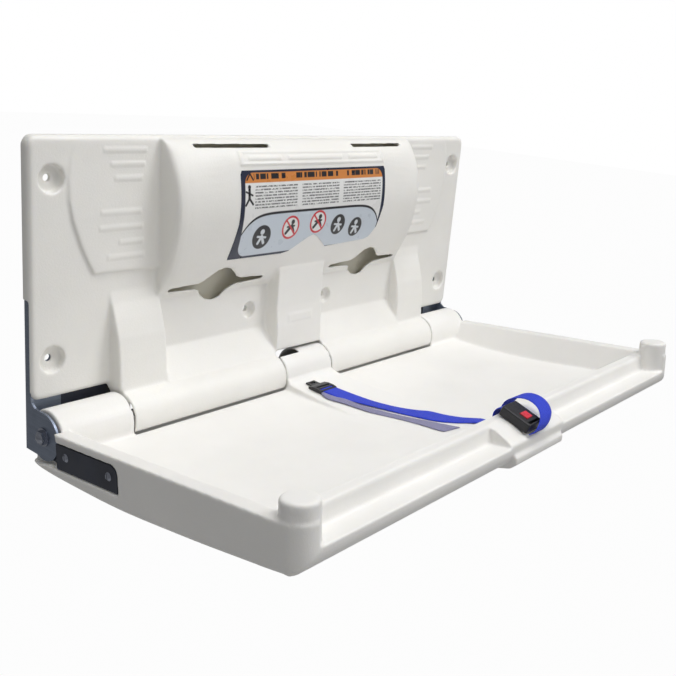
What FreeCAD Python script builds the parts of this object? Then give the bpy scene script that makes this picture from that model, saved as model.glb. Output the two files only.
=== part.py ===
import FreeCAD, Part
import os, math

V = FreeCAD.Vector
os.makedirs("parts", exist_ok=True)

# ------------------------------------------------------------------ frame
# Millimetres.  Origin: centre of the four-bolt wall pattern, on the wall face.
# +X to the right seen from the room, +Y into the wall, +Z up.
# The bed is drawn on its open stop; it closes upward about the hinge rod.

# ------------------------------------------------------------------ driving dimensions
# wall unit
PLATE_HW, PLATE_HH, PLATE_T = 444.5, 158.0, 16.0
WALL_T = 3.5                       # moulded skin thickness
HOLE_X, HOLE_Z = 414.5, 108.75     # corner bolt pattern, half spacings
BOLT_R, CBORE_R, CBORE_D = 4.5, 17.0, 10.0
INNER_X, INNER_Z, INNER_CB = 86.0, -94.0, 12.0
BULGE_HW = 261.0
PIL_X0, PIL_X1 = 257.0, 333.0      # pilasters either side
COL_HW = 50.0                      # centre column
# hinge
AX_Y, AX_Z = -38.0, -195.0
ROD_R = 5.0
TILT = 5.5                         # bed rises this much toward its front, degrees
COVER_R, COVER_X0, COVER_X1 = 33.0, 52.7, 330.4
KN_R = 33.0
EAR_R, EAR_X, STEEL_T = 30.0, 442.0, 3.0
# bed (d = distance out from the hinge rod, h = height above it)
BED_HW = 448.0
BED_D = 424.0
RIM_H, RIDGE_H, LEDGE_H = 12.0, 9.0, -13.0
RIDGE_D, LEDGE_D = 390.0, 394.0
POST_X, POST_D, POST_R, POST_H = 426.0, 402.0, 20.4, 32.5
PAD_HW = 68.0
CH_HW = 62.0                       # underside channel half width
# damper
DX = -27.0                         # damper plane
PIN_RHO, PIN_A = 17.0, -47.85      # anchor pin, polar about the hinge rod in the open bed's frame
SWING = 84.5                       # closing angle
B_D, B_H = 290.0, -50.0            # damper bracket pin on the bed
LINE = 7.19                        # damper slope at rest, relative to the bed
WEB_T = 1.5                        # strap webbing

P = {}


def node(name, *shapes):
    keep = []
    for s in shapes:
        keep += [q for q in s.Solids]
    shp = keep[0] if len(keep) == 1 else Part.makeCompound(keep)
    P[name] = shp


def poly(pts, closed=True):
    if closed:
        pts = list(pts) + [pts[0]]
    return Part.makePolygon(pts)


def box(x0, x1, y0, y1, z0, z1):
    return Part.makeBox(x1 - x0, y1 - y0, z1 - z0, V(x0, y0, z0))


def prism_yz(pts, x0, x1):
    return Part.Face(poly([V(x0, y, z) for y, z in pts])).extrude(V(x1 - x0, 0, 0))


def cylx(x0, x1, y, z, r):
    return Part.makeCylinder(r, x1 - x0, V(x0, y, z), V(1, 0, 0))


def cyly(x, z, r, y0, y1):
    return Part.makeCylinder(r, y1 - y0, V(x, y0, z), V(0, 1, 0))


def fuse(shapes):
    s = shapes[0]
    if len(shapes) > 1:
        s = s.multiFuse(shapes[1:])
    return s


def mirror_x(s):
    return s.mirror(V(0, 0, 0), V(1, 0, 0))


def spline_face_yz(pts, tail, x):
    """closed face at plane x: spline through pts then straight lines through tail"""
    c = Part.BSplineCurve()
    c.interpolate([V(x, y, z) for y, z in pts])
    e = [c.toShape()]
    t = [V(x, *pts[-1])] + [V(x, y, z) for y, z in tail] + [V(x, *pts[0])]
    for a, b in zip(t[:-1], t[1:]):
        if (a - b).Length > 1e-6:
            e.append(Part.LineSegment(a, b).toShape())
    return Part.Wire(e)


# ================================================================== WALL SHELL
ZB = [155.0, 151.5, 140.0, 114.0, 84.0, 60.0, 32.0, 2.0, -27.0, -50.0, -60.0]
YC = [-26.0, -36.0, -50.0, -58.0, -61.5, -61.5, -57.5, -49.5, -38.0, -24.0, -13.0]
YE = [-20.0, -28.0, -38.5, -52.0, -59.0, -60.0, -56.0, -48.0, -35.0, -20.0, -12.5]


def bulge(t=0.0, grow=0.0):
    """domed liner compartment, lofted across X; t insets it for the inner face"""
    wires = []
    half = [(0.0, 1.0, 0.0), (0.2, 0.975, 0.0), (0.4, 0.89, 0.0), (0.58, 0.75, 0.0), (0.72, 0.58, 0.0), (0.84, 0.36, 0.0),
            (0.91, 0.2, 0.0), (0.955, 0.08, 0.6), (0.982, 0.02, 2.2), (0.995, 0.0, 5.0), (1.0, 0.0, 8.5)]
    st = [(-f, w, q) for f, w, q in half[:0:-1]] + half
    for f, w, inset in st:
        x = f * (BULGE_HW - t + grow)
        pts = []
        for k, z in enumerate(ZB):
            y = YE[k] + (YC[k] - YE[k]) * w + inset * min(1.0, max(0.0, (-YE[k] - 16) / 20.0)) + t - grow
            zz = z
            if t:
                zz = z - t * 1.1 if k < 2 else (z - t * 0.6 if k == 2 else (z + t * (0.25 if k >= 8 else 0.0)))
            if grow:
                zz = z + (grow if k < 2 else 0.0)
            pts.append((min(y, -9.0), zz))
        wires.append(spline_face_yz(pts, [(-8.0 + (t if t else 0), pts[-1][1] - 0.5), (-8.0 + (t if t else 0), pts[0][1] + 0.0)], x))
    return Part.makeLoft(wires, True, True)


plate = box(-PLATE_HW, PLATE_HW, -PLATE_T, 0, -PLATE_HH, PLATE_HH)
ed = [e for e in plate.Edges if abs(e.Vertexes[0].Point.x - e.Vertexes[1].Point.x) < 1e-6
      and abs(e.Vertexes[0].Point.z - e.Vertexes[1].Point.z) < 1e-6]
plate = plate.makeFillet(13.0, ed)
ed = [e for e in plate.Edges if all(abs(v.Point.y + PLATE_T) < 1e-6 for v in e.Vertexes)]
plate = plate.makeFillet(7.0, ed)
plate_c = box(-PLATE_HW + 4, PLATE_HW - 4, -PLATE_T + WALL_T, 2, -PLATE_HH + 4, PLATE_HH - 4)
ed = [e for e in plate_c.Edges if abs(e.Vertexes[0].Point.x - e.Vertexes[1].Point.x) < 1e-6
      and abs(e.Vertexes[0].Point.z - e.Vertexes[1].Point.z) < 1e-6]
plate_c = plate_c.makeFillet(10.0, ed)

# pilasters: sloping front faces, wider toward the hinge
PIL = [(-12, -30), (-16, -34), (-19.5, -49), (-27, -69), (-34.5, -93), (-38.5, -119), (-41.5, -158), (-43, -162.3), (-12, -162.3)]
PILC = [(2, -40), (-12.5, -41), (-15.5, -51), (-23.3, -71), (-31, -95), (-35, -120), (-37.8, -156), (-37.8, -175), (2, -175)]
pil_l = prism_yz(PIL, -PIL_X1, -PIL_X0)
pil_lc = prism_yz(PILC, -PIL_X1 + WALL_T, -PIL_X0 - WALL_T)
# centre column
COL = [(-10, -10), (-30, -22), (-38.5, -32), (-38.5, -92), (-42, -121), (-43.5, -158), (-10, -158)]
COLC = [(2, -20), (-26, -28), (-35, -38), (-35, -93), (-38.5, -122), (-40, -175), (2, -175)]
col = prism_yz(COL, -COL_HW, COL_HW)
colc = prism_yz(COLC, -COL_HW + WALL_T, COL_HW - WALL_T)
# raised side panels beside the liner compartment
panel_pts = [(-262, 150), (-384, 150), (-390, 130), (-392.5, 105), (-392, 83), (-388, 59), (-377, 29), (-367, 8), (-358, -8), (-262, -9.5)]


def xz_prism(pts, y0, y1):
    return Part.Face(poly([V(x, y0, z) for x, z in pts])).extrude(V(0, y1 - y0, 0))


panel = xz_prism(panel_pts, -19.5, -14)
panel_l = panel.cut(prism_yz([(-14, 151), (-25, 151), (-25, 60), (-19.6, 60), (-16.2, 150)], -420, -200))

outer = fuse([plate, bulge(), pil_l, mirror_x(pil_l), col, panel_l, mirror_x(panel_l)])
cav = fuse([plate_c, bulge(WALL_T), pil_lc, mirror_x(pil_lc), colc])
shell = outer.cut(cav)

# sloping apron under the bay, from the plate down to the top of each knuckle cover
apron = prism_yz([(-15.9, -122.5), (-46.0, -162.6), (-43.0, -165.0), (-12.4, -126.5), (-12.4, -122.5)], -PIL_X0 - 1, -COL_HW + 1)


def cover(x0, x1):
    ring = cylx(x0, x1, AX_Y, AX_Z, COVER_R).cut(cylx(x0 - 1, x1 + 1, AX_Y, AX_Z, COVER_R - WALL_T))
    a0, a1 = math.radians(88), math.radians(204.5)
    R = 60
    pts = [(AX_Y, AX_Z)] + [(AX_Y + R * math.cos(a0 + (a1 - a0) * k / 6.0), AX_Z + R * math.sin(a0 + (a1 - a0) * k / 6.0)) for k in range(7)]
    return ring.common(prism_yz(pts, x0 - 2, x1 + 2))


cov_l = cover(-COVER_X1, -COVER_X0)
bosses = []
for sx in (-1, 1):
    for sz in (-1, 1):
        bosses.append(cyly(sx * HOLE_X, sz * HOLE_Z, 21.5, -PLATE_T + 1.0, -2.6 if sz < 0 else 0))
    bosses.append(cyly(sx * INNER_X, INNER_Z, 16.0, -PLATE_T + 1.0, 0))
# cover end webs that carry the hinge rod
webs = []
for x in (-COVER_X1, -COVER_X0 - 4.0, COVER_X0, COVER_X1 - 4.0):
    w = prism_yz([(-14, -150), (-40, -163), (AX_Y - 16, AX_Z + 26), (AX_Y - 16, AX_Z - 12), (AX_Y, AX_Z - 15), (AX_Y + 15, AX_Z - 12), (AX_Y + 20, AX_Z + 20), (-8, -157), (-8, -150)], x, x + 4.0)
    webs.append(w)
shell = fuse([shell, apron, mirror_x(apron), cov_l, mirror_x(cov_l)] + bosses + webs)
cuts = []
for sx in (-1, 1):
    for sz in (-1, 1):
        cuts.append(cyly(sx * HOLE_X, sz * HOLE_Z, CBORE_R, -30, -PLATE_T + CBORE_D))
        cuts.append(cyly(sx * HOLE_X, sz * HOLE_Z, BOLT_R, -30, 5))
    cuts.append(cyly(sx * INNER_X, INNER_Z, INNER_CB, -30, -PLATE_T + 8))
    cuts.append(cyly(sx * INNER_X, INNER_Z, BOLT_R, -30, 5))
    # side notch for the steel bracket
    x0, x1 = sorted((sx * 438.6, sx * 450))
    cuts.append(box(x0, x1, -11.5, 3, -170, -33.5))
    x0, x1 = sorted((sx * 394.0, sx * 450))
    cuts.append(box(x0, x1, -2.6, 3, -170, -33.5))
    # liner loading slots along the top edge of the dome
    x0, x1 = sorted((sx * 90, sx * 222))
    cuts.append(box(x0, x1, -60, -27.5, 144.8, 149.6))
# clearance behind and below: chassis plate, damper tabs, hinge rod
cuts.append(box(-396, 396, -2.6, 3, -170, -99))
cuts.append(box(-46, 46, -30, 3, -170, -152))
cuts.append(cylx(-460, 460, AX_Y, AX_Z, ROD_R + 0.3))
cuts += [cylx(a, b, AX_Y, AX_Z, 36.7) for a, b in ((-52.2, 52.2), (331.2, 345.0), (-345.0, -331.2))]


def wing(cx):
    up = [(-86, 1.6), (-60, 3.4), (-38, 4.5), (-30, 8.0), (-22, 15.0), (-12, 22.0), (0, 25.0)]
    dn = [(-86, -2.2), (-60, -3.6), (-38, -4.2), (-30, -7.5), (-23, -15.5), (-13, -23.0), (0, -26.0)]
    pts = up + [(-x, z) for x, z in up[-2::-1]] + [(-x, z) for x, z in dn[:-1]] + dn[::-1]
    return xz_prism([(cx + x, z - 42.0) for x, z in pts], -75, -9.0)


cuts += [wing(-161), wing(161)]
# small grooves across the foot of the column
cuts += [box(-COL_HW - 1, COL_HW + 1, -60, -40.9, -128.6, -127.4), box(-COL_HW - 1, COL_HW + 1, -60, -41.8, -144.6, -143.4)]
shell = shell.cut(fuse(cuts))
sol = sorted(shell.Solids, key=lambda s: -s.Volume)
print("wall_shell solids", [round(s.Volume / 1000, 1) for s in sol], "valid", sol[0].isValid())
node("wall_shell", sol[0])

# ================================================================== LABEL, LINER BACK
skin = bulge(0, 0.5).cut(bulge(0, 0.12))
lab = [(-155, 117), (155, 117), (157.5, 112), (158, 55), (152, 20), (140, 4), (128, 0.5), (36, -3), (27, 4), (10, 16), (0, 19), (-10, 16), (-45, -3), (-60, -5.5), (-165, -5), (-165, 0), (-158, 45), (-157.5, 112)]
label = skin.common(xz_prism(lab, -90, -40))
node("instruction_label", label)

LUGS = [(x, z) for x in (-272, 272) for z in (-50, 138)]
back = box(-282, 282, -2.2, -0.2, -62, 148)
# tabs below the outlets
back = back.fuse([box(-206, -118, -2.2, -0.2, -98, -60), box(118, 206, -2.2, -0.2, -98, -60)]).removeSplitter()
node("liner_back_panel", back.cut(fuse([cyly(x, z, 2.2, -4, 2) for x, z in LUGS])))
lugs = [cyly(x, z, 6.0, -17.5 if z < 0 else -13.5, -2.3) for x, z in LUGS]
scr = [fuse([cyly(x, z, 2.0, -10.4, -0.1), cyly(x, z, 4.0, -0.2, 0.0)]) for x, z in LUGS]
P["wall_shell"] = P["wall_shell"].fuse(fuse(lugs)).cut(fuse([cyly(x, z, 2.0, -10.4, 0) for x, z in LUGS]))
P["wall_shell"] = sorted(P["wall_shell"].Solids, key=lambda s: -s.Volume)[0]
node("liner_panel_screws", *scr)


# ================================================================== STEEL: WALL BRACKETS, CHASSIS
def bracket(s):
    xo, xi = EAR_X, EAR_X - STEEL_T
    strip = [(0, -34.0), (-11.0, -34.0), (-11.0, -158.0), (-14, -172.0)]
    a = [math.radians(v) for v in (125, 150, 180, 210, 240, 270, 300)]
    outline = [(0, -34.0), (-11.0, -34.0), (-11.0, AX_Z + 32.0)]
    side = prism_yz([(0, -34.0), (-11.0, -34.0), (-11.0, AX_Z + 22), (AX_Y + 6, AX_Z + 10), (AX_Y + 5, AX_Z - 20), (-8, AX_Z - 27.0), (0, AX_Z - 27.0)], xi, xo)
    side = side.fuse(cylx(xi, xo, AX_Y, AX_Z, EAR_R))
    tang = prism_yz([(-11.0, AX_Z + 36), (-11.0, AX_Z + 10), (AX_Y, AX_Z + 10), (AX_Y + 2, AX_Z + EAR_R - 0.2), (-19, AX_Z + 30.5)], xi, xo)
    foot = prism_yz([(0, AX_Z - 27), (AX_Y + 12, AX_Z - 27.3), (AX_Y, AX_Z), (0, AX_Z)], xi, xo)
    flange = box(395.0, xo, -2.5, 0, -176, -36)
    b = side.fuse(tang).fuse(foot).fuse(flange).removeSplitter()
    b = b.cut(cyly(HOLE_X, -HOLE_Z, BOLT_R, -10, 5)).cut(cylx(xi - 5, xo + 5, AX_Y, AX_Z, ROD_R))
    if s < 0:
        b = mirror_x(b)
    return b.Solids[0]


node("left_hinge_bracket", bracket(-1))
node("right_hinge_bracket", bracket(1))
chassis = box(-394.9, 394.9, -2.5, 0, -150, -100)
# feet behind the bed's outer knuckles
chassis = chassis.fuse([box(-394.9, -312, -2.5, 0, -176, -149), box(312, 394.9, -2.5, 0, -176, -149)]).removeSplitter()
chassis = chassis.cut(fuse([cyly(s * INNER_X, INNER_Z - 0.0, 17.0, -10, 5) for s in (-1, 1)]))
node("chassis_plate", chassis)

# hinge rod and its capped ends
node("hinge_rod", cylx(-EAR_X - 4.5, EAR_X + 4.5, AX_Y, AX_Z, ROD_R))


def capnut(s):
    x0, x1 = (EAR_X + 1.6, EAR_X + 8.0)
    hexp = [V(x0, AX_Y + 9.0 * math.cos(math.radians(60 * k)), AX_Z + 9.0 * math.sin(math.radians(60 * k))) for k in range(6)]
    h = Part.Face(poly(hexp)).extrude(V(4.4, 0, 0))
    dome = Part.makeSphere(7.2, V(x0 + 1.2, AX_Y, AX_Z)).common(box(x0 + 1, x0 + 20, AX_Y - 20, AX_Y + 20, AX_Z - 20, AX_Z + 20))
    n = h.fuse(dome).cut(cylx(x0 - 1, EAR_X + 4.5, AX_Y, AX_Z, ROD_R))
    return n if s > 0 else mirror_x(n)


node("hinge_cap_nuts", capnut(-1), capnut(1))


def washer(x0, x1, ri, ro):
    return cylx(x0, x1, AX_Y, AX_Z, ro).cut(cylx(x0 - 1, x1 + 1, AX_Y, AX_Z, ri))


node("hinge_outer_washers", washer(EAR_X + 0.1, EAR_X + 1.6, ROD_R, 11.5), washer(-EAR_X - 1.6, -EAR_X - 0.1, ROD_R, 11.5))


ARM_SCREWS = [(52.0, -12.5), (134.0, -13.5)]


# ================================================================== BED (flat frame, then tilted into place)
def F(d, h, x=0.0):
    return V(x, -d, h)


def pr(pts, x0, x1):
    """prism from (d,h) outline"""
    return Part.Face(poly([F(d, h, x0) for d, h in pts])).extrude(V(x1 - x0, 0, 0))


def pr_spline(pts, tail, x0, x1):
    c = Part.BSplineCurve()
    c.interpolate([F(d, h, x0) for d, h in pts])
    # the curve is laid as a run of short tangent pieces
    n = 12
    u = [c.FirstParameter + (c.LastParameter - c.FirstParameter) * i / n for i in range(n + 1)]
    e = []
    for p, q in zip(u[:-1], u[1:]):
        g = c.copy()
        g.segment(p, q)
        e.append(g.toShape())
    t = [F(*pts[-1], x0)] + [F(d, h, x0) for d, h in tail] + [F(*pts[0], x0)]
    for a, b in zip(t[:-1], t[1:]):
        e.append(Part.LineSegment(a, b).toShape())
    return Part.Face(Part.Wire(e)).extrude(V(x1 - x0, 0, 0))


def cylb(x0, x1, d, h, r):
    return Part.makeCylinder(r, x1 - x0, F(d, h, x0), V(1, 0, 0))


def place(s):
    s = s.copy()
    s.rotate(V(0, 0, 0), V(1, 0, 0), -TILT)
    s.translate(V(0, AX_Y, AX_Z))
    return s


BOT = [(-34, -18), (-31, -28), (-22, -36), (0, -42), (60, -47), (150, -51), (220, -50), (300, -47.3), (360, -44.3), (396, -42), (412, -37.5), (421, -28), (424, -16)]
block = pr_spline(BOT, [(424, RIM_H), (-24, RIM_H), (-33, 0)], -BED_HW, BED_HW)
try:
    ed = []
    for e in block.Edges:
        c = e.CenterOfMass
        if abs(abs(c.x) - BED_HW) < 0.5 and c.z < -17.5:
            ed.append(e)
    b2 = block.makeFillet(9.0, ed)
    if b2.isValid() and len(b2.Solids) == 1:
        block = b2
except Exception as ex:
    print("bottom fillet skipped", ex)
# rounded front corners in plan
cs = 22.0
for sx in (-1, 1):
    x0, x1 = sorted((sx * (BED_HW - cs), sx * (BED_HW + 6)))
    corner = box(x0, x1, -(BED_D + 6), -(BED_D - cs), -90, 60)
    corner = corner.cut(Part.makeCylinder(cs, 200, V(sx * (BED_HW - cs), -(BED_D - cs), -120), V(0, 0, 1)))
    block = block.cut(corner)
# underside channel for the damper, ending in a low bump on the front lip
CH = [(-8, -40), (6, -50), (30, -58), (70, -61), (320, -61), (370, -53), (400, -46.5), (418, -43), (427, -36), (427.5, -28), (424, -23), (400, -30), (300, -40), (100, -40)]
block = block.fuse(pr(CH, -CH_HW, CH_HW))
# bed knuckles
KN = [(-50.0, 50.0), (333.8, 436.5), (-436.5, -333.8)]
FLOOR = [(31, -18), (60, -21.0), (100, -24.5), (160, -27.6), (230, -28.4), (300, -27.4), (340, -24), (358, -17), (368, -6), (373, 4), (375, 14)]
pocket = pr_spline(FLOOR, [(375, 40), (31, 40)], -440, 440)
fr0 = poly([V(-403, 50, -30), V(403, 50, -30), V(403, -380, -30), V(-403, -380, -30)])
fr1 = poly([V(-430, 50, 16), V(430, 50, 16), V(430, -380, 16), V(-430, -380, 16)])
fr2 = poly([V(-430, 50, 45), V(430, 50, 45), V(430, -380, 45), V(-430, -380, 45)])
frustum = Part.makeLoft([fr0, fr1], True, True).fuse(Part.makeLoft([fr1, fr2], True, True))
pocket = pocket.common(frustum)
bed = block.cut(pocket)
# raised run of tray floor over the damper rod, just in front of the centre knuckle
HUMP = [(20, -24), (20, 4), (33, -3.0), (40, -9.0), (60, -12.5), (80, -16), (100, -19), (130, -23.0), (160, -26.5), (185, -29), (185, -33), (100, -33)]
hump = pr(HUMP, -62, 62).common(Part.Face(poly([V(-62, 0, -34), V(62, 0, -34), V(46, 0, 10), V(-46, 0, 10)])).extrude(V(0, -200, 0)))
# steps at the front: ridge, finger ledge, soft centre pad
lc = []
for a, b in ((-POST_X + 4, -PAD_HW), (PAD_HW, POST_X - 4)):
    lc.append(pr([(RIDGE_D - 1, RIM_H + 5), (RIDGE_D - 1, RIDGE_H), (RIDGE_D + 1, RIDGE_H - 4), (LEDGE_D, LEDGE_H), (BED_D + 8, LEDGE_H - 0.5), (BED_D + 8, RIM_H + 5)], a, b))
# centre pad slopes from the ridge to the lip
lc.append(pr([(RIDGE_D - 4, RIM_H + 5), (RIDGE_D - 4, RIDGE_H), (LEDGE_D + 6, 4.0), (BED_D - 8, -5.0), (BED_D + 2, -13.0), (BED_D + 8, RIM_H + 5)], -PAD_HW - 1, PAD_HW + 1))
lc.append(pr([(372, RIM_H + 6), (376, RIDGE_H), (RIDGE_D + 2, RIDGE_H), (RIDGE_D + 2, RIM_H + 6)], -410, 410))
bed = bed.cut(fuse(lc))
posts = []
for s in (-1, 1):
    c = Part.makeCylinder(POST_R, POST_H + 40.0, V(s * POST_X, -POST_D, -40), V(0, 0, 1))
    ed = [e for e in c.Edges if abs(e.CenterOfMass.z - POST_H) < 0.01 and e.Length > 50]
    c = c.makeFillet(4.0, ed)
    g = Part.makeTorus(POST_R + 0.6, 1.2, V(s * POST_X, -POST_D, POST_H - 11), V(0, 0, 1))
    c = c.cut(g)
    posts.append(c.common(pr_spline(BOT, [(424, 60), (-24, 60), (-33, 0)], -460, 460)))
bed = fuse([bed, hump] + posts + [cylb(a, b, 0, 0, KN_R) for a, b in KN])
# clearance channels around the wall unit's covers
chan = [cylb(a, b, 0, 0, COVER_R + 3.0) for a, b in ((-332.4, -51.0), (51.0, 332.4))]
chan += [pr([(-60, 0), (-60, 60), (31, 60), (31, 0)], a, b) for a, b in ((-332.4, -51.0), (51.0, 332.4))]
bed = bed.cut(fuse(chan))

# hollow interior
T = WALL_T
FL = [(40, -24.5), (60, -25.5), (100, -28.5), (160, -31.4), (230, -32.2), (300, -31.2), (340, -28)]
cavs = []
main = pr(FL + [(356, -22), (366, -12), (366, -24), (366, -40), (300, -43.6), (220, -46.2), (150, -47.2), (60, -43.2), (38, -41.5)], -399, 399)
cavs.append(main)
for s in (-1, 1):
    a, b = sorted((s * 407, s * 444.0))
    # beside and under the side rims; stops short of the arm recess at the hinge end
    rim = Part.makeLoft([poly([V(s * 404, -160, -40), V(s * 438, -160, -40), V(s * 443.5, -160, -34), V(s * 443.5, -160, 6), V(s * 436, -160, 8.5), V(s * 431.5, -160, 8.5), V(s * 406, -160, -30)]),
                         poly([V(s * 404, -384, -38), V(s * 438, -384, -38), V(s * 443.5, -384, -32), V(s * 443.5, -384, 6), V(s * 436, -384, 8.5), V(s * 431.5, -384, 8.5), V(s * 406, -384, -30)])], True, True)
    cavs.append(rim)
    a, b = sorted((s * 398, s * 440))
    cavs.append(pr([(170, -46), (170, -34), (360, -30), (380, -39), (300, -43.2), (220, -45.8)], a, b))
    a, b = sorted((s * 396, s * 431))
    cavs.append(pr([(38, -41.5), (38, -26), (150, -30), (180, -34), (180, -46), (150, -47), (60, -43.2)], a, b))
    cavs.append(Part.makeCylinder(POST_R - T - 0.5, 51, V(s * POST_X, -POST_D, -22), V(0, 0, 1)))
    a, b = sorted((s * 337.5, s * 430))
    cavs.append(cylb(a, b, 0, 0, KN_R - T))
    cavs.append(pr([(0, -29), (0, -37), (60, -42), (60, -26), (28, -20)], a, b))
cavs.append(pr([(364, -40), (364, -14), (374, 0), (379, 5), (386.5, 5), (389.5, -16.6), (420, -17), (417, -28), (409, -35.5), (396, -38.5)], -POST_X, POST_X))
cavs.append(pr([(386, 4), (400, 0.6), (416, -8), (420, -17), (386, -17)], -PAD_HW + 3, PAD_HW - 3))
cavs.append(cylb(-46.5, 46.5, 0, 0, KN_R - T))
# channel interior, opening under the channel for the service cover
cavs.append(pr([(0, -28), (0, -37), (10, -46), (32, -54.2), (70, -57.2), (320, -57.2), (366, -50), (396, -43.5), (396, -38), (300, -31.5), (190, -31.6), (160, -30.2), (150, -28.3), (130, -26.3), (100, -22.4), (80, -19.4), (60, -15.9), (42, -12.3), (34, -9), (22, -8)], -46.5, 46.5))
cavs.append(pr([(60, -50), (60, -57.2), (320, -57.2), (320, -50)], -CH_HW + T, CH_HW - T))
bed = bed.cut(fuse(cavs))
# service opening, hinge rod bores, notch for the damper tabs, arm recesses
bcut = [box(-52, 52, -320, -70, -70, -56)]
bcut.append(box(-55, 55, -325, -65, -70, -58.2))
bcut.append(cylb(-460, 460, 0, 0, 9.0))
# the notch runs from the wall side of the centre knuckle over its top
notch = [(0, 0)] + [(60 * math.cos(a), 60 * math.sin(a)) for a in [math.radians(v) for v in (62, 90, 120, 150, 180, 205)]]
bcut.append(pr(notch, -51, -6).cut(cylb(-60, 0, 0, 0, 22)))
for s in (-1, 1):
    a, b = sorted((s * 443.2, s * 460))
    bcut.append(pr([(18, 2), (142, 2), (149, -2), (151, -9), (151, -31.5), (18, -31.5)], a, b))
    a, b = sorted((s * 436.2, s * 460))
    bcut.append(cylb(a, b, 0, 0, 33.2))
    bcut.append(pr([(-40, 20), (0, 34), (0, -33.5), (-60, -33.5), (-60, 20)], a, b))
    bcut.append(pr([(10, 1.5), (36.8, 1.5), (36.8, -31.0), (10, -31.0)], a, b))
    a, b = sorted((s * 434.0, s * 460))
    bcut.append(fuse([cylb(a, b, d, h, 2.5) for d, h in ARM_SCREWS]))
bed = bed.cut(fuse(bcut))
# bosses for the service cover and the damper bracket
boss = [pr([(a, -58.2), (b, -58.2), (b, -48), (a, -48)], x0, x1) for a, b in ((54, 72.5), (317.5, 336)) for x0, x1 in ((-59, -44), (44, 59))]
boss += [Part.makeCylinder(4.5, 6.0, V(DX + x, -312, -33.4), V(0, 0, 1)) for x in (-9, 9)]
bed = bed.fuse(fuse(boss))
holes = [Part.makeCylinder(1.4, 8.0, V(x, -d, -60), V(0, 0, 1)) for x in (-49, 49) for d in (68.2, 321.8)]
holes += [Part.makeCylinder(1.5, 4.4, V(DX + x, -312, -34), V(0, 0, 1)) for x in (-9, 9)]
bed = bed.cut(fuse(holes))
bed = place(bed)
# nothing behind the wall plane
bed = bed.cut(box(-500, 500, -3.5, 60, -330, 0))
sol = sorted(bed.Solids, key=lambda s: -s.Volume)
print("bed solids", [round(s.Volume / 1000, 1) for s in sol][:6], "valid", sol[0].isValid())
node("bed_shell", sol[0])


def put(name, *shapes):
    node(name, *[place(q) for q in shapes])


# ------------------------------------------------------------------ steel arms let into the bed sides
def arm(s):
    xo, xi = 447.0, 443.6
    plate_ = pr([(33.0, 0.5), (140, 0.5), (147, -3), (149.6, -9), (149.6, -30), (33.0, -30)], xi, xo)
    # inner leaf runs back to the hinge rod, inboard of the wall bracket's ear
    hub = cylb(436.7, 438.5, 0, 0, 19.0)
    leaf = pr([(0, 17), (14, 10), (24, 0.5), (36, 0.5), (36, -30), (14, -28), (0, -19)], 436.7, 438.5)
    joggle = pr([(33.0, 0.5), (36, 0.5), (36, -30), (33.0, -30)], 436.7, xo)
    b = fuse([plate_, hub, leaf, joggle]).removeSplitter()
    b = b.cut(cylb(430, 450, 0, 0, ROD_R + 0.06)).cut(fuse([cylb(430, 450, d, h, 2.5) for d, h in ARM_SCREWS]))
    return b if s > 0 else mirror_x(b)


put("left_bed_arm", arm(-1))
put("right_bed_arm", arm(1))


def panhead(x0, x1, d, h, r, rh, th):
    """screw along X, head beyond x1"""
    c = cylb(x0, x1, d, h, r)
    k = Part.makeCone(rh, rh * 0.62, th, F(d, h, x1), V(1, 0, 0))
    k = k.cut(pr([(d - 0.5, h - rh), (d + 0.5, h - rh), (d + 0.5, h + rh), (d - 0.5, h + rh)], x1 + th * 0.45, x1 + th + 1))
    return c.fuse(k)


sc = [panhead(435.0, 447.0, d, h, 2.5, 5.2, 1.9) for d, h in ARM_SCREWS]
put("bed_arm_screws", *(sc + [mirror_x(q) for q in sc]))

# nylon bushings in the knuckle walls, spacer washers between the knuckles
bush = [(46.6, 50.0), (333.8, 337.4), (430.1, 436.1)]
put("hinge_bushings", *[cylb(min(a, b), max(a, b), 0, 0, 9.0).cut(cylb(-460, 460, 0, 0, ROD_R + 0.05)) for s in (-1, 1) for a, b in [(s * u, s * v) for u, v in bush]])
node("hinge_spacer_washers", *[washer(min(a, b), max(a, b), ROD_R, 11.0) for s in (-1, 1) for a, b in [(s * u, s * v) for u, v in ((51.3, 52.4), (330.7, 332.1))]])

# ------------------------------------------------------------------ damper under the tray
TIL = math.radians(TILT)
pa = math.radians(PIN_A)
pw = math.radians(PIN_A + TILT)
PIN_Y, PIN_Z = AX_Y - PIN_RHO * math.cos(pw), AX_Z + PIN_RHO * math.sin(pw)
TABX = [(DX - 10.0, DX - 7.5), (DX + 7.5, DX + 10.0)]
tab = [(0, -184), (-30, -181), (-44, -184.5), (PIN_Y - 6.4, PIN_Z + 2.6), (PIN_Y - 5.4, PIN_Z - 3.6), (PIN_Y, PIN_Z - 6.4), (-44, -209.5), (-30, -206.5), (0, -206.5)]
tabs = [prism_yz(tab, a, b) for a, b in TABX]
anch = fuse([box(DX - 13, DX + 13, -2.5, 0, -212, -150.0)] + tabs).removeSplitter()
anch = anch.cut(cylx(DX - 20, DX + 20, AX_Y, AX_Z, ROD_R)).cut(cylx(DX - 20, DX + 20, PIN_Y, PIN_Z, 2.5))
node("damper_anchor_bracket", anch)
node("damper_anchor_pin", fuse([cylx(DX - 12.4, DX + 11.6, PIN_Y, PIN_Z, 2.5), cylx(DX - 12.4, DX - 10.2, PIN_Y, PIN_Z, 4.2), cylx(DX + 10.2, DX + 10.9, PIN_Y, PIN_Z, 3.4)]))


def along(shape):
    """local damper frame (y runs from the bracket pin toward the hinge) into the flat bed frame"""
    q = shape.copy()
    q.rotate(V(0, 0, 0), V(1, 0, 0), LINE)
    q.translate(F(B_D, B_H, DX))
    return q


def cs(r, a, b):
    return Part.makeCylinder(r, b - a, V(0, a, 0), V(0, 1, 0))


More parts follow.
